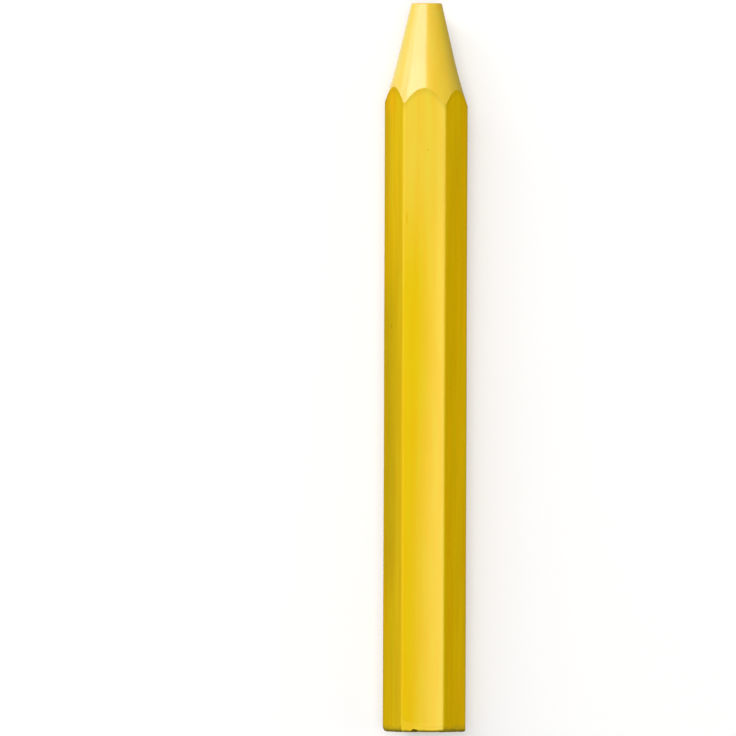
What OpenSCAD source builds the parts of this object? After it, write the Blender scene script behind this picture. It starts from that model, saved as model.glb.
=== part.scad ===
// A hexagonal stick of marking chalk. It lies on one flat along Y, with its blunt point towards +Y
// and its butt towards -Y. The origin is under its middle, on the surface that it rests on.
// All sizes are in millimetres.

/* [Stick] */
// Width of the bar from one flat to the flat across from it
across_flats = 12; // [10:0.25:16]
// Length from the butt to the end of the point
stick_len = 120; // [80:1:150]
// Radius that the die leaves along each of the six long edges
edge_r = 0.6; // [0.3:0.05:1]

/* [Point] */
// Diameter of the blunt end, where its flat face and the side of the point would meet
tip_d = 5; // [3:0.1:7]
// Radius of the rounded rim of the blunt end
tip_rim_r = 0.3; // [0.1:0.05:0.6]
// Angle between the straight part of the point's side and its axis
tip_angle = 13.2; // [8:0.1:18]
// Length of the straight part, from the blunt end
straight_len = 8.5; // [4:0.25:12]
// Radius of the hollow flare below the straight part
flare_r = 85; // [40:1:300]
// Angle by which the point's axis leans from the bar's, about the middle of the blunt end
tip_lean = 0.35; // [0:0.05:1]

/* [Butt] */
// Width of the bevel around the butt, along the bar
butt_bevel = 0.35; // [0.15:0.05:0.8]
// Radius of the nick in the butt's upper rim
nick_r = 0.55; // [0.4:0.05:1]
// How far the nick lies to the left of the bar's axis
nick_offset = 1.35; // [0:0.05:2]
// Length along the bar that is knocked off the butt's left corner
worn_corner = 0.6; // [0.5:0.05:1.5]

/* [Hidden] */
$fn = 96;
turn_fn = 180; // for the faces that are turned about the point's axis
flare_fn = 1080; // the flare is a short stretch of a very large circle
spare = 2; // how far a cutting shape runs past what it cuts

// The bar's outline, from its axis
flat_r = across_flats / 2;
edge_centre_r = (flat_r - edge_r) / cos(30);
corner_r = edge_centre_r + edge_r;
// Where a rounded edge runs into the flat beside it, as an angle and a distance from the axis
edge_start = [edge_centre_r + edge_r * cos(30), edge_r * sin(30)];
edge_start_angle = atan2(edge_start.y, edge_start.x);
edge_start_r = norm(edge_start);

// The point's half section: distances from its axis, and heights above the butt
side_out = [cos(tip_angle), sin(tip_angle)]; // square to the straight side, away from the solid
flare_start = [tip_d / 2 + straight_len * tan(tip_angle), stick_len - straight_len];
flare_centre = flare_start + flare_r * side_out;
rim_centre = [tip_d / 2 - tip_rim_r * (1 / cos(tip_angle) - tan(tip_angle)), stick_len - tip_rim_r];
rim_start = rim_centre + tip_rim_r * side_out;

// A hexagon cut off where its rounded edges begin, with a round in each of its six corners
module bar_outline() {
    polygon([for (i = [0:5], side = [-1, 1])
        let (angle = 60 * i + side * edge_start_angle)
        edge_start_r * [cos(angle), sin(angle)]]);
    for (i = [0:5])
        rotate(60 * i) translate([edge_centre_r, 0]) circle(edge_r);
}

// Half the section of all that lies inside the side of the point and below its blunt end
module point_section() {
    difference() {
        polygon([
            [0, -spare], [across_flats, -spare], [across_flats, flare_start.y],
            flare_start, rim_start, [rim_centre.x, stick_len], [0, stick_len]
        ]);
        translate(flare_centre) circle(flare_r, $fn = flare_fn);
    }
    translate(rim_centre) circle(tip_rim_r);
}

// The point, turned about its own axis. Where it meets the bar's flats it leaves six scallops.
module point() {
    translate([0, 0, stick_len]) rotate([0, tip_lean, 0]) translate([0, 0, -stick_len])
        rotate_extrude($fn = turn_fn) point_section();
}

// Six wedges that bevel the butt's edges
module butt_bevels() {
    for (i = [0:5])
        rotate(30 + 60 * i) translate([flat_r - butt_bevel, 0, 0]) rotate([0, 45, 0])
            translate([0, -across_flats, -spare]) cube([spare, 2 * across_flats, 2 * spare]);
}

// The damage at the butt, drawn on the stick as it lies
module nick() {
    translate([-nick_offset, -stick_len / 2, across_flats]) sphere(nick_r);
}

module knocked_corner() {
    translate([-corner_r, worn_corner - stick_len / 2, flat_r]) rotate(-45)
        translate([-2 * spare, -2 * spare, -across_flats]) cube([4 * spare, 2 * spare, 2 * across_flats]);
}

module chalk_stick() {
    color("gold")
    difference() {
        translate([0, -stick_len / 2, flat_r]) rotate([-90, 0, 0])
            difference() {
                intersection() {
                    linear_extrude(stick_len + spare) bar_outline();
                    point();
                }
                butt_bevels();
            }
        nick();
        knocked_corner();
    }
}

chalk_stick();
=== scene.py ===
"""A hexagonal stick of marking chalk, lying on a white table under soft studio light."""

import math

import bpy
from mathutils import Matrix, Vector


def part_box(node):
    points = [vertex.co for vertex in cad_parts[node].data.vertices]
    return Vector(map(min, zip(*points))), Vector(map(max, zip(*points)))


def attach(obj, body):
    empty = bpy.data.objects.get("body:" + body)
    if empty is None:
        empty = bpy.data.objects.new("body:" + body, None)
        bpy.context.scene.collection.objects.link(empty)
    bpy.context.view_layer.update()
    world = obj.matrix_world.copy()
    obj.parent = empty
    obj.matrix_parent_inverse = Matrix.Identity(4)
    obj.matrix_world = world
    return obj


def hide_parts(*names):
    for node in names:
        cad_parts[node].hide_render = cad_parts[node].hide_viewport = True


MM = 0.001
DEG = math.pi / 180

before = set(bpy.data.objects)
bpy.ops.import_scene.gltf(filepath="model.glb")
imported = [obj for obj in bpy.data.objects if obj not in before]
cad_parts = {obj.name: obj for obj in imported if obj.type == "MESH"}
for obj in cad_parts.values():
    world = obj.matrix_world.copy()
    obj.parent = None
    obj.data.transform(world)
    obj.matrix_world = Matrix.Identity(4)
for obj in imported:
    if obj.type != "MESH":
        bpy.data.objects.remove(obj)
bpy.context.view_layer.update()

# The stick's driving sizes. The first ones come from the frame.
LOW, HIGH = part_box("chalk_stick")
LENGTH = -2 * LOW.y
ACROSS_FLATS = HIGH.z - LOW.z
ACROSS_EDGES = HIGH.x - LOW.x
# A sharp hexagon would be wider across its edges. What is missing there gives their radius.
EDGE_RADIUS = (ACROSS_FLATS / math.cos(30 * DEG) - ACROSS_EDGES) / 2 / (1 / math.cos(30 * DEG) - 1)
# These have the same values in the stick's source
TIP_DIAMETER = 5.0 * MM
RIM_RADIUS = 0.3 * MM
TIP_ANGLE = 13.2 * DEG
STRAIGHT_LENGTH = 8.5 * MM
FLARE_RADIUS = 85 * MM
TIP_LEAN = 0.35 * DEG
BEVEL = 0.35 * MM
NICK_OFFSET = 1.35 * MM
# The damage is uneven here and plain in the source, so its sizes are not quite the same
NICK_RADIUS = 0.62 * MM
WORN_CORNER = 0.5 * MM
# Only here: how far a flat sinks in its middle, how deep the bar's waves and the butt's chips are, and how far the
# lip of dragged wax reaches up from the butt
HOLLOW = 0.1 * MM
WAVINESS = 0.05 * MM
CHIPS = 0.16 * MM
LIP = 1.9 * MM
# The narrow strip on each side of the scallops' line, which keeps it sharp
BRINK = 0.05 * MM

# The pits that were placed one by one: the flat, counted from the top one towards +X, then the place across it and
# along the bar from its middle, the radii across, along and into the flat, and how dark it is
PITS = [
    (5, -0.85 * MM, 6.7 * MM, (0.2 * MM, 0.36 * MM, 0.16 * MM), 0.35),
    (5, -0.9 * MM, -48.4 * MM, (0.1 * MM, 0.75 * MM, 0.1 * MM), 0.35),
    (0, 0.55 * MM, -23.6 * MM, (0.08 * MM, 0.8 * MM, 0.05 * MM), 0.35),
    (0, 1.3 * MM, -33.9 * MM, (0.08 * MM, 0.35 * MM, 0.06 * MM), 0.35),
    (0, -0.95 * MM, 37.6 * MM, (0.07 * MM, 1.1 * MM, 0.04 * MM), 0.35),
    (0, -2.85 * MM, 24.6 * MM, (0.1 * MM, 0.9 * MM, 0.04 * MM), 0.0),
]
# The pits at random: the least distance between two, the smallest and the largest radii across, along and into the
# skin, their darkness, and the lengths at the point's end and at the butt that stay free of them
PIT_SPACING = 3.0 * MM
SMALLEST_PIT = (0.06 * MM, 0.08 * MM, 0.05 * MM)
LARGEST_PIT = (0.16 * MM, 0.3 * MM, 0.1 * MM)
PIT_DARKNESS = 0.2
FREE_AT_POINT = 22 * MM
FREE_AT_BUTT = 4 * MM

# Where handling has turned the wax orange: the middle of each spot, and its radii
STAINS = [
    ((1.9 * MM, 59.3 * MM, 7.5 * MM), (0.9 * MM, 0.9 * MM, 1.5 * MM)),
    ((-5.5 * MM, 43.8 * MM, 8.2 * MM), (2.0 * MM, 3.6 * MM, 3.0 * MM)),
    ((-5.75 * MM, -58.4 * MM, 8.05 * MM), (0.5 * MM, 0.3 * MM, 0.7 * MM)),
]

# Points nearer than this are one where the skin meets itself, and where the cuts have left slivers
SEAM_GAP = 0.1e-6
SLIVER = 5e-6
# Faces that meet at more than this look sharp
CREASE_ANGLE = 40 * DEG

# Most of the values of a noise texture lie between these two
NOISE_RANGE = (0.28, 0.72)


# ---------------------------------------------------------------- node trees written as expressions


class Wire:
    """The output of a node. Operators on it add Math nodes to its tree."""

    def __init__(self, net, socket):
        self.net = net
        self.socket = socket

    def math(self, operation, *others):
        return self.net.node("ShaderNodeMath", {"operation": operation}, [self, *others])

    def __add__(self, other):
        return self.math("ADD", other)

    def __sub__(self, other):
        return self.math("SUBTRACT", other)

    def __rsub__(self, other):
        return self.math("MULTIPLY", -1) + other

    def __mul__(self, other):
        return self.math("MULTIPLY", other)

    def __truediv__(self, other):
        return self.math("DIVIDE", other)

    def __pow__(self, other):
        return self.math("POWER", other)

    def __abs__(self):
        return self.math("ABSOLUTE")

    __radd__ = __add__
    __rmul__ = __mul__

    def clamped(self):
        return self.math("MAXIMUM", 0).math("MINIMUM", 1)

    def between(self, start, end, kind="SMOOTHSTEP"):
        """0 up to start, 1 from end on, and a smooth rise from one to the other."""
        return self.net.node("ShaderNodeMapRange", {"interpolation_type": kind}, [self, start, end, 0, 1])


class Net:
    """A node tree under construction."""

    def __init__(self, tree):
        self.tree = tree

    def node(self, kind, settings=None, sockets=(), output=0):
        """Adds a node: its settings first, then the value or the link of each of its sockets in use."""
        made = self.tree.nodes.new(kind)
        for name, value in (settings or {}).items():
            if name == "stops":
                self.set_stops(made.color_ramp, value)
            else:
                setattr(made, name, value)
        shown = [s for s in made.inputs if s.enabled]
        named = {s.name: s for s in reversed(shown)}
        pairs = sockets.items() if isinstance(sockets, dict) else enumerate(sockets)
        for key, value in pairs:
            self.feed(named[key] if isinstance(key, str) else shown[key], value)
        if isinstance(output, str):
            return Wire(self, made.outputs[output])
        return Wire(self, [s for s in made.outputs if s.enabled][output])

    def feed(self, socket, value):
        """Links each wire in value to the socket, or sets the socket to it."""
        for item in value if isinstance(value, list) else [value]:
            if isinstance(item, Wire):
                self.tree.links.new(item.socket, socket)
            else:
                socket.default_value = item

    @staticmethod
    def set_stops(ramp, stops):
        while len(ramp.elements) < len(stops):
            ramp.elements.new(1)
        for element, (position, colour) in zip(ramp.elements, stops):
            element.position = position
            element.color = colour

    def xyz(self, x, y, z):
        return self.node("ShaderNodeCombineXYZ", {}, [x, y, z])

    def parts(self, vector):
        return [self.node("ShaderNodeSeparateXYZ", {}, [vector], output=i) for i in range(3)]

    def vector(self, operation, *values):
        return self.node("ShaderNodeVectorMath", {"operation": operation}, values)

    def mixed(self, amount, first, second):
        """The colour first where amount is 0, and second where it is 1."""
        return self.node("ShaderNodeMix", {"data_type": "RGBA"}, {"Factor": amount, "A": first, "B": second})

    def noise(self, place, across, along, offset, detail=1.0):
        """Soft noise, mostly from 0 to 1, whose lumps have these sizes across and along the stick. The offset sets
        one noise apart from another."""
        spread = self.vector("DIVIDE", place, (across, along, across))
        shifted = self.vector("ADD", spread, (offset, offset, offset))
        fog = self.node("ShaderNodeTexNoise", {}, {"Vector": shifted, "Scale": 1.0, "Detail": detail})
        return fog.between(*NOISE_RANGE, "LINEAR")


# ---------------------------------------------------------------- the stick's shape


def shape_tree(name, inputs):
    """A Geometry Nodes tree with a named input for each entry of inputs, as its Net and its input wires."""
    tree = bpy.data.node_groups.new(name, "GeometryNodeTree")
    kinds = {float: "NodeSocketFloat", int: "NodeSocketInt", bpy.types.Material: "NodeSocketMaterial"}
    tree.interface.new_socket("Mesh", in_out="OUTPUT", socket_type="NodeSocketGeometry")
    for label, value in inputs.items():
        kind = next(kinds[k] for k in kinds if isinstance(value, k))
        tree.interface.new_socket(label, in_out="INPUT", socket_type=kind)
    net = Net(tree)
    entry = tree.nodes.new("NodeGroupInput")
    wires = {label: Wire(net, entry.outputs[label]) for label in inputs}
    return net, wires


def made_from(net, inputs, name):
    """The plain mesh that a finished tree gives for these inputs, as an object."""
    tree = net.tree
    holder = bpy.data.objects.new(name + "_holder", bpy.data.meshes.new(name + "_holder"))
    bpy.context.scene.collection.objects.link(holder)
    modifier = holder.modifiers.new("shape", "NODES")
    modifier.node_group = tree
    for item in tree.interface.items_tree:
        if item.in_out == "INPUT":
            modifier[item.identifier] = inputs[item.name]
    graph = bpy.context.evaluated_depsgraph_get()
    mesh = bpy.data.meshes.new_from_object(holder.evaluated_get(graph), depsgraph=graph)
    holder.modifiers.remove(modifier)
    bpy.data.objects.remove(holder)
    mesh.name = name
    piece = bpy.data.objects.new(name, mesh)
    bpy.context.scene.collection.objects.link(piece)
    return piece


class Outline:
    """Where a column meets the bar's section, seen from the bar's axis."""

    def __init__(self, size, column):
        flat_r, edge_r = size["Across flats"] / 2, size["Edge radius"]
        per_flat = size["Cells on a flat"] + size["Cells on an edge"]
        flat_share = size["Cells on a flat"] / per_flat
        flat_number = (column / per_flat).math("FLOOR")
        # From -1 to 1 over a flat and half of the edge on each side of it
        self.across = (column / per_flat - flat_number) * 2 - 1
        # From 0 at the middle of a flat to 1 at its ends, and from 0 there to 1 at the middle of an edge
        self.on_flat = (abs(self.across) / flat_share).math("MINIMUM", 1)
        self.bend = ((abs(self.across) - flat_share) / (1 - flat_share)).math("MAXIMUM", 0)
        bend_turn = self.bend * 30 * DEG
        half_flat = (flat_r - edge_r) * math.tan(30 * DEG)
        to_side = half_flat * self.on_flat + edge_r * bend_turn.math("SINE")
        sideways = self.across.math("SIGN") * to_side
        outwards = flat_r - edge_r * (1 - bend_turn.math("COSINE"))
        self.turn = flat_number * (60 * DEG)
        self.out_x, self.out_z = self.turn.math("SINE"), self.turn.math("COSINE")
        # 1 on the top flat and 0 on the others
        self.on_top = self.out_z.between(0.6, 0.9)
        self.x = outwards * self.out_x + sideways * self.out_z
        self.z = outwards * self.out_z - sideways * self.out_x


class Point:
    """The turned point: a straight cone that flares, about an axis that leans from the middle of its blunt end."""

    def __init__(self, size):
        self.lean = size["Tip lean"].math("TANGENT")
        self.tip = size["Length"] / 2
        self.tip_r = size["Tip diameter"] / 2
        self.straight = size["Straight length"]
        self.flare_r = size["Flare radius"]
        self.rim_r = size["Rim radius"]
        self.angle = size["Tip angle"]
        self.sine, self.cosine = self.angle.math("SINE"), self.angle.math("COSINE")
        self.tangent = self.sine / self.cosine

    def axis_x(self, y):
        return (y - self.tip) * self.lean

    def radius(self, y):
        """Radius of its side at the height y."""
        depth = self.tip - y
        into_flare = (depth - self.straight).math("MAXIMUM", 0)
        along_circle = self.flare_r * self.sine + into_flare
        flare = self.flare_r * self.cosine - (self.flare_r ** 2 - along_circle ** 2).math("SQRT")
        return self.tip_r + depth.math("MINIMUM", self.straight) * self.tangent + flare

    def height(self, radius):
        """Height at which the flare reaches a radius."""
        beyond = radius - self.tip_r - self.straight * self.tangent
        across_circle = self.flare_r * self.cosine - beyond
        drop = (self.flare_r ** 2 - across_circle ** 2).math("SQRT") - self.flare_r * self.sine
        return self.tip - self.straight - drop

    def scallop(self, x, z):
        """Height at which the side runs out through the bar's outline at x, z, found in three steps."""
        y = self.height((x ** 2 + z ** 2).math("SQRT"))
        for _ in range(2):
            y = self.height(((x - self.axis_x(y)) ** 2 + z ** 2).math("SQRT"))
        return y


def stick_shape(name, inputs):
    """The stick as one skin of rows and columns, wrapped round it from the middle of its butt to the middle of its
    blunt end. One row follows the scallops, where the flats run out into the turned point."""
    net, size = shape_tree(name, inputs)
    index = net.node("GeometryNodeInputIndex")

    # How far each row is along each stretch, from 0 up to its start to 1 from its end on
    stretches = {
        "butt": size["Rows on the butt"],
        "bevel": size["Rows on the bevel"],
        "lip": size["Rows on the lip"],
        "bar": size["Rows on the bar"],
        "brink": 1,
        "scallop": 1,
        "point": size["Rows on the point"],
        "rim": size["Rows on the rim"],
        "end": size["Rows on the end"],
    }
    rows = sum(stretches.values(), 1)
    columns = (size["Cells on a flat"] + size["Cells on an edge"]) * 6 + 1
    column = (index / rows).math("FLOOR")
    row = index - column * rows
    along, starts = {}, {}
    first = 0
    for stretch, count in stretches.items():
        along[stretch] = ((row - first) / count).clamped()
        starts[stretch] = first
        first = count + first

    outline = Outline(size, column)
    point = Point(size)
    scallop_y = point.scallop(outline.x, outline.z)

    # Heights, from the butt up. Each stretch adds its own rise.
    half_length, bevel, lip, brink = size["Length"] / 2, size["Bevel"], size["Lip"], size["Brink"]
    bevel_turn = along["bevel"] * (90 * DEG)
    rim_turn = point.angle + (90 * DEG - point.angle) * along["rim"]
    rim_start_y = half_length - point.rim_r * (1 - point.sine)
    bar_y = (
        bevel * (1 - bevel_turn.math("COSINE")) - half_length
        + along["lip"] * lip
        + along["bar"] * (scallop_y + half_length - bevel - lip - brink)
        + along["brink"] * brink
    )
    point_y = bar_y + along["scallop"] * brink + along["point"] * (rim_start_y - scallop_y - brink)
    y = point_y + point.rim_r * (rim_turn.math("SINE") - point.sine)

    # Distances from the axis of the bar below the scallops, and from the point's own axis above them
    flat_r = size["Across flats"] / 2
    shrink = along["butt"] * (1 - bevel / flat_r) + bevel / flat_r * bevel_turn.math("SINE")
    base_x = point.axis_x(scallop_y)
    reach = ((outline.x - base_x) ** 2 + outline.z ** 2).math("SQRT")
    side_r = point.radius(point_y) + point.rim_r * (rim_turn.math("COSINE") - point.cosine)
    on_point = (row - starts["scallop"]).math("GREATER_THAN", -0.5)
    grow = (reach + on_point * (side_r - reach)) / reach * (1 - along["end"])
    axis_x = base_x + on_point * (point.axis_x(y) - base_x)
    x = (axis_x + (outline.x - base_x) * grow) * shrink
    z = outline.z * grow * shrink
    place = net.xyz(x, y, z)

    grid = net.node("GeometryNodeMeshGrid", {}, [1, 1, columns, rows])
    skin = net.node("GeometryNodeSetPosition", {}, {"Geometry": grid, "Position": place})
    lip_of_wax, hollow = hollow_flats(net, size, outline, along, place)
    offset = net.vector("ADD", hollow, wear(net, size, along))
    skin = net.node("GeometryNodeSetPosition", {}, {"Geometry": skin, "Offset": offset})
    pits = random_pits(net, size, skin)
    for label, value in marks(net, size, outline, along, place, lip_of_wax).items():
        # The values belong to the skin's points, so they are worked out there before the corners take them
        of_point = net.node("GeometryNodeFieldOnDomain", {"data_type": "FLOAT", "domain": "POINT"}, [value])
        skin = marked_with(net, skin, label, of_point)
    closed = net.node("GeometryNodeMergeByDistance", {}, {"Geometry": skin, "Distance": SEAM_GAP})

    nick = net.node(
        "GeometryNodeTransform", {},
        {
            "Geometry": rough_ball(net, offset=1.2, darkness=1.0),
            "Translation": net.xyz(size["Nick offset"] * -1, size["Length"] / -2, flat_r),
            "Scale": net.xyz(size["Nick radius"], size["Nick radius"], size["Nick radius"]),
        },
    )
    bites = [nick, pits]
    for number, pit in enumerate(PITS):
        bites.append(placed_pit(net, 2.7 + number, *pit))
    bitten = net.node(
        "GeometryNodeMeshBoolean",
        {"operation": "DIFFERENCE", "solver": "MANIFOLD"},
        {"Mesh 1": closed, "Mesh 2": bites},
    )
    # The cuts leave slivers between points that all but meet. In triangles, merging those points closes them.
    triangles = net.node("GeometryNodeTriangulate", {}, [bitten])
    cleaned = net.node("GeometryNodeMergeByDistance", {}, {"Geometry": triangles, "Distance": SLIVER})
    lifted = net.node("GeometryNodeSetPosition", {}, {"Geometry": cleaned, "Offset": (0, 0, ACROSS_FLATS / 2)})
    smooth = net.node("GeometryNodeSetShadeSmooth", {"domain": "FACE"}, {"Geometry": lifted, "Shade Smooth": True})
    is_crease = net.node("GeometryNodeInputMeshEdgeAngle").math("GREATER_THAN", CREASE_ANGLE)
    creased = net.node(
        "GeometryNodeSetShadeSmooth",
        {"domain": "EDGE"},
        {"Geometry": smooth, "Selection": is_crease, "Shade Smooth": False},
    )
    whole = net.node("GeometryNodeRealizeInstances", {}, {"Geometry": creased})
    whole = net.node("GeometryNodeRemoveAttribute", {}, {"Geometry": whole, "Name": "id"})
    final = net.node("GeometryNodeSetMaterial", {}, {"Geometry": whole, "Material": size["Material"]})
    exit_node = net.tree.nodes.new("NodeGroupOutput")
    net.feed(exit_node.inputs[0], final)
    return made_from(net, inputs, name)


def marked_with(net, mesh, label, value):
    """The mesh with a value that its material can read by name."""
    return net.node(
        "GeometryNodeStoreNamedAttribute",
        {"data_type": "FLOAT", "domain": "CORNER"},
        {"Geometry": mesh, "Name": label, "Value": value},
    )


def hollow_flats(net, size, outline, along, place):
    """The flats shrank hollow as the wax set, but not near the point. Where the butt was cut off, wax was dragged
    along them and fills the hollow up to an uneven line, mostly on top. Gives the mask of that lip, and the offset
    of the skin."""
    y = net.parts(place)[1]
    half_length = size["Length"] / 2
    ragged = net.noise(place, 2.6 * MM, 9 * MM, offset=4.2, detail=2.0)
    one_side = (0 - outline.across).math("MAXIMUM", 0) * outline.on_top
    width = size["Lip"] * (0.3 + one_side * 0.75 + ragged * 0.3)
    filled = 1 - (y + half_length).between(width, width + 0.3 * MM)
    near_point = (y - half_length).between(-45 * MM, -22 * MM)
    filled = filled * (0.4 + 0.6 * outline.on_top)
    sink = size["Hollow"] * (outline.on_flat ** 2 - 1) * (1 - filled * along["bevel"]) * (1 - near_point)
    return filled, net.xyz(outline.out_x * sink, 0, outline.out_z * sink)


def marks(net, size, outline, along, place, lip_of_wax):
    """What the material reads from the skin, each from 0 to 1: the long edges, the turned point, the cut end, whose
    rim is painted dark as shade, the lip of dragged wax, what is broken or rough, and where sheen is painted on top."""
    y = net.parts(place)[1]
    on_bar = 1 - along["scallop"]
    from_butt = y + size["Length"] / 2
    ragged = net.noise(place, 1.2 * MM, 3 * MM, offset=6.6, detail=3.0)
    # The cut end's colour, whose rim is painted dark as shade, fades out between these heights, and the second is
    # greater on the flats below
    lower_flat_reach = (1 - outline.on_top) * (0.2 * MM)
    full_to = (0.12 + ragged * 0.15) * MM
    gone_from = (0.35 + ragged * 0.35) * MM + lower_flat_reach
    # Thin darker, rougher lines along the edge of the lip and just below the scallops
    lip_line = lip_of_wax * (1 - lip_of_wax) * 0.8 * along["bevel"]
    scallop_line = along["bar"].between(0.987, 1.0) * on_bar * 0.15
    return {
        "edge": outline.bend * on_bar * along["lip"],
        "turned": along["scallop"],
        "cut_end": 1 - from_butt.between(full_to, gone_from),
        "lip": lip_of_wax * along["bevel"],
        "broken": lip_line + scallop_line,
        "bloom": bloom(size, outline, y) * on_bar * along["bevel"],
    }


def bloom(size, outline, y):
    """Painted sheen: the top flat is painted paler where the lamps' sheen lies on it, evenly near its point and
    further down towards one edge only."""
    facing_up = ((outline.turn + 6 * DEG).math("COSINE") * 0.5 + 0.5) ** 10
    near_point = (y - size["Length"] / 2).between(-48 * MM, -24 * MM)
    # Down the bar, where across a flat it begins and where it is full. Both move with the height.
    upper = y.between(-30 * MM, 5 * MM)
    one_edge = 0.03 + 0.97 * outline.across.between(upper * 0.3 - 0.65, upper * 0.15 + 0.7)
    at_point = 0.55 + 0.4 * outline.across.between(0.3, 0.75)
    return facing_up * (one_edge + near_point * (at_point - one_edge))


def wear(net, size, along):
    """Offset for what the mould, the knife and the pocket left: a wavy bar, an uneven butt and a blunted corner."""
    place = net.node("GeometryNodeInputPosition")
    x, y, z = net.parts(place)
    half_length, flat_r = size["Length"] / 2, size["Across flats"] / 2
    wave = net.noise(place, 9 * MM, 30 * MM, offset=1.7)
    lumps = net.noise(place, 3.1 * MM, 8 * MM, offset=8.3)
    near_point = (y - half_length).between(-30 * MM, -18 * MM)
    sink = (wave * 0.8 + lumps * 0.2) * size["Waviness"] * (1 - near_point * 0.7)

    near_butt = 1 - (y + half_length).between(0.1 * MM, 1.4 * MM)
    crumbly = net.noise(place, 0.7 * MM, 2.5 * MM, offset=2.9, detail=3.0)
    chips = crumbly ** 2 * size["Chips"] * near_butt * along["butt"]

    corner_r = (flat_r - size["Edge radius"]) / math.cos(30 * DEG) + size["Edge radius"]
    into_corner = ((corner_r * -1 - x) / (1.25 * size["Worn corner"]) + 1).math("MAXIMUM", 0)
    uneven = net.noise(place, 0.9 * MM, 0.9 * MM, offset=6.1, detail=2.0) * 0.3 + 0.85
    at_butt = 1 - (y + half_length).between(0.0, 3.5 * MM, "LINEAR")
    blunted = into_corner ** 2 * size["Worn corner"] * uneven * at_butt
    return net.xyz(x / flat_r * sink * -1, chips + blunted, z / flat_r * sink * -1)


def rough_ball(net, offset, darkness):
    """A ball with a lumpy surface, of radius about 1. What it bites out of the stick looks broken and darker."""
    ball = net.node("GeometryNodeMeshIcoSphere", {}, {"Radius": 1.0, "Subdivisions": 3})
    place = net.node("GeometryNodeInputPosition")
    lumps = net.noise(place, 0.8, 0.8, offset=offset, detail=2.0) * 0.5 - 0.3
    bulge = net.vector("SCALE", place, lumps)
    rough = net.node("GeometryNodeSetPosition", {}, {"Geometry": ball, "Offset": bulge})
    return marked_with(net, rough, "broken", darkness)


def placed_pit(net, offset, flat_number, across, height, radii, darkness):
    """One of the PITS, as what bites it out. The offset gives it lumps of its own."""
    turn = flat_number * 60 * DEG
    flat_r = ACROSS_FLATS / 2 - HOLLOW / 2
    return net.node(
        "GeometryNodeTransform", {},
        {
            "Geometry": rough_ball(net, offset, darkness),
            "Translation": (
                flat_r * math.sin(turn) + across * math.cos(turn),
                height,
                flat_r * math.cos(turn) - across * math.sin(turn),
            ),
            "Rotation": (0.0, turn, 0.0),
            "Scale": radii,
        },
    )


def random_pits(net, size, skin):
    """Small pits at random over the bar, each turned to the skin that it lies in."""
    y = net.parts(net.node("GeometryNodeInputPosition"))[1]
    off_point = net.node("FunctionNodeCompare", {"operation": "LESS_THAN"}, [y, size["Length"] / 2 - FREE_AT_POINT])
    off_butt = net.node("FunctionNodeCompare", {"operation": "GREATER_THAN"}, [y, size["Length"] / -2 + FREE_AT_BUTT])
    points = net.node(
        "GeometryNodeDistributePointsOnFaces",
        {"distribute_method": "POISSON"},
        {
            "Mesh": skin,
            "Selection": net.node("FunctionNodeBooleanMath", {}, [off_point, off_butt]),
            "Distance Min": PIT_SPACING,
            "Density Max": size["Pits per square metre"],
            "Seed": size["Seed"],
        },
    )
    normal = Wire(net, points.socket.node.outputs["Normal"])
    facing = net.node("FunctionNodeAlignRotationToVector", {"axis": "Z"}, {"Vector": normal})
    random_size = net.node(
        "FunctionNodeRandomValue",
        {"data_type": "FLOAT_VECTOR"},
        {"Min": SMALLEST_PIT, "Max": LARGEST_PIT, "Seed": size["Seed"]},
    )
    placed = net.node(
        "GeometryNodeInstanceOnPoints", {},
        {
            "Points": points,
            "Instance": rough_ball(net, offset=5.9, darkness=PIT_DARKNESS),
            "Rotation": facing,
            "Scale": random_size,
        },
    )
    return net.node("GeometryNodeRealizeInstances", {}, {"Geometry": placed})


# ---------------------------------------------------------------- the stick's material


# The wax on the bar, by where it lies and what has happened to it, with the light and shade painted on it
TOP_WAX = (0.84, 0.56, 0.004, 1)
LEFT_WAX_SHADED = (0.735, 0.495, 0.002, 1)
RIGHT_WAX = (0.85, 0.535, 0.001, 1)
LEFT_EDGE_SHADE = (0.61, 0.38, 0.006, 1)
LEFT_DARKER_STRETCH = (0.57, 0.38, 0.005, 1)
LEFT_LIGHTER_STRETCH = (0.83, 0.55, 0.006, 1)
PAINTED_SHEEN_BELOW = (1.0, 0.70, 0.09, 1)
PAINTED_SHEEN_AT_POINT = (0.92, 0.68, 0.09, 1)
EDGE_HIGHLIGHT = (0.95, 0.68, 0.06, 1)
WIDEST_EDGE_SHADE = (0.33, 0.26, 0.03, 1)
LIP_WAX = (0.97, 0.70, 0.07, 1)
STAINED = (0.88, 0.49, 0.008, 1)
BROKEN = (0.13, 0.095, 0.004, 1)
# The worked wax round the point, from its left side at 0 to its right side at 1, with light painted on the left and
# shade on the right
POINT_LIGHT_AND_SHADE = [
    (0.08, (0.92, 0.69, 0.07, 1)),
    (0.22, (0.93, 0.61, 0.08, 1)),
    (0.35, (0.93, 0.56, 0.08, 1)),
    (0.5, (0.93, 0.56, 0.07, 1)),
    (0.56, (0.885, 0.595, 0.045, 1)),
    (0.85, (0.88, 0.60, 0.045, 1)),
    (0.935, (0.78, 0.54, 0.04, 1)),
    (1.0, (0.64, 0.46, 0.03, 1)),
]
DIMMER_BY_END = (0.80, 0.53, 0.02, 1)
BLUNT_END = (0.80, 0.53, 0.03, 1), (0.88, 0.61, 0.05, 1)
# The butt's rim, painted dark as shade, and the middle of its face, each from its darkest to its palest
BUTT_RIM_SHADE = (0.14, 0.11, 0.01, 1), (0.46, 0.34, 0.015, 1)
BUTT_FACE = (0.72, 0.47, 0.012, 1), (0.93, 0.62, 0.018, 1)
# What the wax is multiplied by where the streaks are weakest, and where they are strongest
STREAK_TINTS = (1.015, 0.965, 0.9, 1), (0.985, 1.03, 1.05, 1)
DRAG_TINTS = (0.935, 0.935, 0.9, 1), (1.055, 1.04, 1.05, 1)

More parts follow.
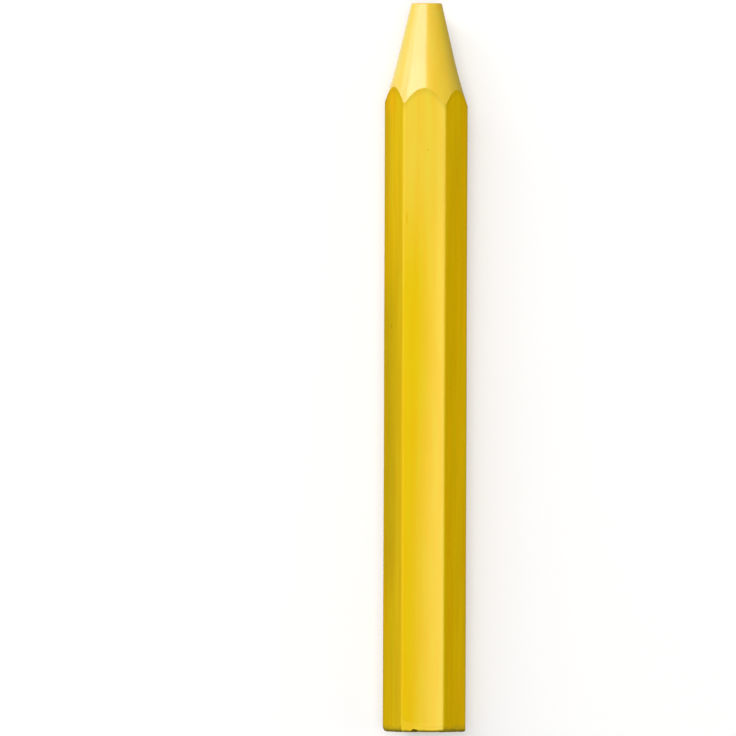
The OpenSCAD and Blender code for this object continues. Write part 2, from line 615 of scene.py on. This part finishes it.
# The noises of the wax: the size of their lumps across and along the stick, their offset and their detail
GRAINS = {
    "hairs": (0.35 * MM, 26 * MM, 1.1, 3.0),
    "bands": (1.5 * MM, 60 * MM, 5.2, 1.0),
    "clouds": (3.5 * MM, 8 * MM, 9.7, 2.0),
    "patches": (1.1 * MM, 11 * MM, 12.4, 2.0),
    "grain": (0.16 * MM, 0.16 * MM, 3.9, 2.0),
    "scuffs": (0.5 * MM, 2.6 * MM, 7.4, 3.0),
    "drag": (0.9 * MM, 17 * MM, 15.3, 2.0),
}


def blank_material(name):
    """A new material, its Net, and a function that sets its surface's sockets by name."""
    material = bpy.data.materials.new(name)
    material.use_nodes = True
    net = Net(material.node_tree)
    surface = net.tree.nodes["Principled BSDF"]

    def give(**values):
        for label, value in values.items():
            net.feed(surface.inputs[label.replace("_", " ")], value)

    return material, net, give


class Wax:
    """What the look of the wax depends on: the place on the stick, the marks of its shape, and the noises."""

    def __init__(self, net):
        self.place = net.node("ShaderNodeTexCoord", output="Object")
        self.x, self.y, z = net.parts(self.place)
        # How far a place is above the bar's axis, and how far from it
        self.above = z - ACROSS_FLATS / 2
        self.from_axis = (self.x ** 2 + self.above ** 2).math("SQRT")
        # From 0 on the left to 1 on the right, and from 0 on the top flat to 1 below it
        self.right = self.x.between(-3 * MM, 3 * MM)
        self.low = 1 - z.between((11.5 - 0.4 * self.right) * MM, 12 * MM)
        # The painted light and shade on the point, and its gloss, shift to one side towards its foot: 1 there, 0 at
        # its end
        self.aslant = 1 - self.y.between(45 * MM, 59 * MM, "LINEAR")
        for label in ("turned", "edge", "cut_end", "lip", "broken", "bloom"):
            setattr(self, label, net.node("ShaderNodeAttribute", {"attribute_name": label}, output="Fac"))
        for label, (across, along, offset, detail) in GRAINS.items():
            setattr(self, label, net.noise(self.place, across, along, offset, detail))


def bar_colour(net, wax):
    """On top the wax is brightest, with painted sheen. The flats below are painted darker as shade, above all on the
    left, where one stretch is darker still and another lighter."""
    x, y = wax.x, wax.y
    # The flats below the top one: painted shade on the left, and on the right a colour raised to make up for the
    # weaker light
    colour = net.mixed(wax.right, LEFT_WAX_SHADED, RIGHT_WAX)
    # Painted shade on the outer part of the flats on the left, cloudy and weaker near the butt
    left_edge_shade = (1 - x.between(-7 * MM, -4 * MM, "LINEAR")) * (0.6 + 0.4 * wax.clouds)
    left_edge_shade = left_edge_shade * (0.55 + 0.45 * y.between(-60 * MM, -35 * MM))
    colour = net.mixed(left_edge_shade, colour, LEFT_EDGE_SHADE)
    # A darker stretch of the left flat's outer part, and further up a lighter stretch of that flat
    darker_stretch = y.between(-42 * MM, -28 * MM) * (1 - y.between(6 * MM, 18 * MM))
    darker_stretch = darker_stretch * (1 - x.between(-5.8 * MM, -3.8 * MM)) * (0.5 + 0.5 * wax.scuffs)
    colour = net.mixed(darker_stretch, colour, LEFT_DARKER_STRETCH)
    lighter_stretch = (1 - darker_stretch) * y.between(10 * MM, 25 * MM)
    lighter_stretch = lighter_stretch * x.between(-6.2 * MM, -5.4 * MM) * (1 - x.between(-3.6 * MM, -3.2 * MM))
    colour = net.mixed(lighter_stretch * 0.7, colour, LEFT_LIGHTER_STRETCH)
    colour = net.mixed(wax.low, TOP_WAX, colour)

    # Painted sheen: the top flat is made paler where the lamps' reflection lies on it
    pale = net.mixed(y.between(15 * MM, 35 * MM), PAINTED_SHEEN_BELOW, PAINTED_SHEEN_AT_POINT)
    colour = net.mixed(wax.bloom * (0.88 + 0.12 * wax.bands), colour, pale)
    # The edges beside the top flat get a painted highlight, uneven with scuffs. The two widest ones turn away into
    # the dark and get painted shade.
    widest = 1 - abs(wax.above).between(0.1 * MM, 0.8 * MM)
    edge_highlight = wax.edge * (0.3 + 0.5 * wax.scuffs) * (0.3 + 0.7 * y.between(8 * MM, 25 * MM)) * (1 - widest)
    colour = net.mixed(edge_highlight, colour, EDGE_HIGHLIGHT)
    colour = net.mixed(widest * (0.1 + 0.14 * wax.right), colour, WIDEST_EDGE_SHADE)
    return net.mixed(wax.lip * 0.25, colour, LIP_WAX)


def point_colour(net, wax):
    """The worked wax of the point is paler than the bar's, with light painted on its left, shade painted on its
    right, and a plainer face at its blunt end.
    """
    around = wax.x / wax.from_axis
    around = around + 0.13 * wax.aslant * (1 - abs(around))
    # Painted light on the point's left side and painted shade on its right
    colour = net.node("ShaderNodeValToRGB", {"stops": POINT_LIGHT_AND_SHADE}, [around * 0.5 + 0.5])
    # A little darker right of the middle near the blunt end
    dimmer_by_end = wax.y.between(50 * MM, 59 * MM) * wax.x.between(0.2 * MM, 0.8 * MM) * 0.5
    colour = net.mixed(dimmer_by_end, colour, DIMMER_BY_END)
    return net.mixed(wax.from_axis.between(2.05 * MM, 2.35 * MM), net.mixed(wax.scuffs, *BLUNT_END), colour)


def butt_colour(net, wax):
    """The butt's rim is painted dark as shade, in an uneven ring round a face that is dull yellow."""
    rim = net.mixed(wax.scuffs * 0.6 + wax.grain * 0.4, *BUTT_RIM_SHADE)
    ragged = wax.from_axis + (wax.clouds - 0.5) * (1.4 * MM) + (wax.scuffs - 0.5) * (1.2 * MM)
    off_rim = 1 - ragged.between(4.4 * MM, 5.9 * MM)
    return net.mixed(off_rim * (0.75 + 0.25 * wax.clouds), rim, net.mixed(wax.scuffs, *BUTT_FACE))


def stained(net, wax, colour):
    """The colour with the orange STAINS on it."""
    for middle, radii in STAINS:
        away = net.vector("DIVIDE", net.vector("SUBTRACT", wax.place, middle), radii)
        distance = net.node("ShaderNodeVectorMath", {"operation": "LENGTH"}, [away], output="Value")
        near = 1 - distance.between(0.2, 1.0)
        colour = net.mixed(near * (0.4 + 0.4 * wax.clouds), colour, STAINED)
    return colour


def streaked(net, wax, colour):
    """The colour with the die's streaks along it, and broader ones on the flats below the top one."""
    streaks = wax.hairs * 0.2 + wax.bands * 0.35 + wax.patches * 0.45
    tint = net.mixed(streaks.between(0.25, 0.75), *STREAK_TINTS)
    colour = net.mixed(1 - wax.turned * 0.25, colour, net.vector("MULTIPLY", colour, tint))
    dragged = net.mixed(wax.drag, *DRAG_TINTS)
    return net.mixed(wax.low * (1 - wax.turned), colour, net.vector("MULTIPLY", colour, dragged))


def wax_chalk():
    """Yellow marking wax: drawn lengthwise by the die, with painted sheen on top, painted highlights on its edges, a
    glossy turned point with painted light and shade, and a rough butt whose rim is painted dark as shade."""
    material, net, give = blank_material("wax chalk")
    wax = Wax(net)
    colour = net.mixed(wax.turned, bar_colour(net, wax), point_colour(net, wax))
    colour = streaked(net, wax, stained(net, wax, colour))
    colour = net.mixed(wax.broken.clamped() * 0.9, colour, BROKEN)
    colour = net.mixed(wax.cut_end, colour, butt_colour(net, wax))

    rough = (wax.cut_end + wax.broken * 2).clamped()
    relief = (
        wax.hairs * 0.5 + wax.bands * 0.9 + wax.clouds * 0.35 + wax.grain * 0.12
        + wax.turned * (0 - wax.hairs * 0.4 - wax.bands * 0.6 - wax.clouds * 0.2)
        + rough * (wax.scuffs * 1.6 + wax.grain * 1.2)
    )
    bump = net.node("ShaderNodeBump", {}, {"Strength": 0.6, "Distance": 0.025 * MM, "Height": relief})
    uneven_shine = 0.42 + 0.08 * (wax.clouds - 0.5) + 0.05 * (wax.grain - 0.5)
    # The point's gloss dies away on its right side
    far_right = (wax.x + 0.7 * MM * wax.aslant).between(0.3 * MM, 2.6 * MM)
    give(
        Base_Color=colour,
        Roughness=uneven_shine - 0.06 * wax.turned + 0.2 * rough,
        Specular_IOR_Level=0.0,
        Coat_Weight=wax.turned * (0.9 + 0.1 * wax.clouds) * (1 - 0.8 * far_right),
        Coat_Roughness=0.22,
        Coat_IOR=1.6,
        Normal=bump,
    )
    return material


# ---------------------------------------------------------------- the room


def seen_directly(net):
    """1 for a ray from the camera, or one that a glossy or a clear surface passes on."""
    rays = ["Is Camera Ray", "Is Glossy Ray", "Is Transmission Ray"]
    return sum(net.node("ShaderNodeLightPath", output=label) for label in rays).clamped()


def table(size, paint, glow):
    """The white table top that the stick lies on. It glows a little where it is seen directly, so that it looks
    white without lighting the stick."""
    mesh = bpy.data.meshes.new("table_top")
    half = size / 2
    corners = [(-half, -half, 0), (half, -half, 0), (half, half, 0), (-half, half, 0)]
    mesh.from_pydata(corners, [], [(0, 1, 2, 3)])
    top = bpy.data.objects.new("table_top", mesh)
    bpy.context.scene.collection.objects.link(top)
    material, net, give = blank_material("white table")
    give(
        Base_Color=(paint, paint, paint, 1),
        Roughness=0.9,
        Specular_IOR_Level=0.1,
        Emission_Color=net.vector("SCALE", (1, 1, 1), glow * seen_directly(net)),
        Emission_Strength=1,
    )
    mesh.materials.append(material)


def softbox(name, place, size, radiance, upright=True):
    """A rectangular lamp, evenly bright, that faces the stick. It stands upright, or leans from above to one
    side."""
    width, height = size
    lamp = bpy.data.lights.new(name, "AREA")
    lamp.shape = "RECTANGLE"
    lamp.size, lamp.size_y = width, height
    lamp.energy = radiance * math.pi * width * height
    outwards = Vector(place).normalized()
    along = Vector((0, 1, 0)) if upright else Vector((outwards.z, 0, -outwards.x))
    across = along.cross(outwards).normalized()
    along = outwards.cross(across)
    if not upright:
        across, along = along, -across
    turned = Matrix((across, along, outwards)).transposed().to_4x4()
    holder = bpy.data.objects.new(name, lamp)
    holder.matrix_world = Matrix.Translation(place) @ turned
    bpy.context.scene.collection.objects.link(holder)


def camera(target, tilt_right, roll, distance, field):
    """A long lens straight above target, but for a small tilt to the right. field is the width that it takes in."""
    lens = bpy.data.cameras.new("camera")
    lens.sensor_width = 36
    lens.lens = lens.sensor_width * distance / field
    lens.clip_end = 10
    eye = bpy.data.objects.new("camera", lens)
    turned = Matrix.Rotation(tilt_right, 4, "Y") @ Matrix.Rotation(roll, 4, "Z")
    eye.matrix_world = Matrix.Translation(target) @ turned @ Matrix.Translation((0, 0, distance))
    bpy.context.scene.collection.objects.link(eye)
    bpy.context.scene.camera = eye


def room(walls, walls_seen):
    """Light from above and from beyond the point, in a room whose walls look white but give off little light."""
    scene = bpy.context.scene
    scene.view_settings.view_transform = "Standard"
    world = bpy.data.worlds.new("studio")
    scene.world = world
    world.use_nodes = True
    net = Net(world.node_tree)
    background = world.node_tree.nodes["Background"].inputs
    net.feed(background["Color"], (1, 1, 1, 1))
    net.feed(background["Strength"], walls + (walls_seen - walls) * seen_directly(net))
    table(size=6, paint=0.65, glow=0.38)
    softbox("window", place=(-0.472, 0.7, 0.853), size=(1.22, 0.42), radiance=5.5, upright=False)
    softbox("card low on the left", place=(-0.98, 0.415, 0.31), size=(0.55, 0.4), radiance=2.4)
    softbox("overhead", place=(0.08, -0.1, 1.3), size=(0.7, 0.7), radiance=4.8)
    softbox("fill on the right", place=(1.0, 0.1, 0.65), size=(0.8, 0.8), radiance=0.9)


# ---------------------------------------------------------------- the whole


# The camera looks past the stick on its left, where the table stays empty
AIM = (-9.45 * MM, -0.11 * MM, ACROSS_FLATS / 2)
camera(AIM, tilt_right=2.6 * DEG, roll=0.2 * DEG, distance=3.5, field=121.25 * MM)
room(walls=0.12, walls_seen=1.0)
stick = stick_shape(
    "marking_chalk",
    {
        "Length": LENGTH,
        "Across flats": ACROSS_FLATS,
        "Edge radius": EDGE_RADIUS,
        "Hollow": HOLLOW,
        "Tip diameter": TIP_DIAMETER,
        "Rim radius": RIM_RADIUS,
        "Tip angle": TIP_ANGLE,
        "Straight length": STRAIGHT_LENGTH,
        "Flare radius": FLARE_RADIUS,
        "Tip lean": TIP_LEAN,
        "Bevel": BEVEL,
        "Chips": CHIPS,
        "Worn corner": WORN_CORNER,
        "Nick radius": NICK_RADIUS,
        "Nick offset": NICK_OFFSET,
        "Waviness": WAVINESS,
        "Pits per square metre": 3500.0,
        "Seed": 4,
        "Lip": LIP,
        "Brink": BRINK,
        "Cells on a flat": 20,
        "Cells on an edge": 8,
        "Rows on the butt": 16,
        "Rows on the bevel": 5,
        "Rows on the lip": 14,
        "Rows on the bar": 250,
        "Rows on the point": 44,
        "Rows on the rim": 6,
        "Rows on the end": 7,
        "Material": wax_chalk(),
    },
)
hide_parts("chalk_stick")
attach(stick, "root")
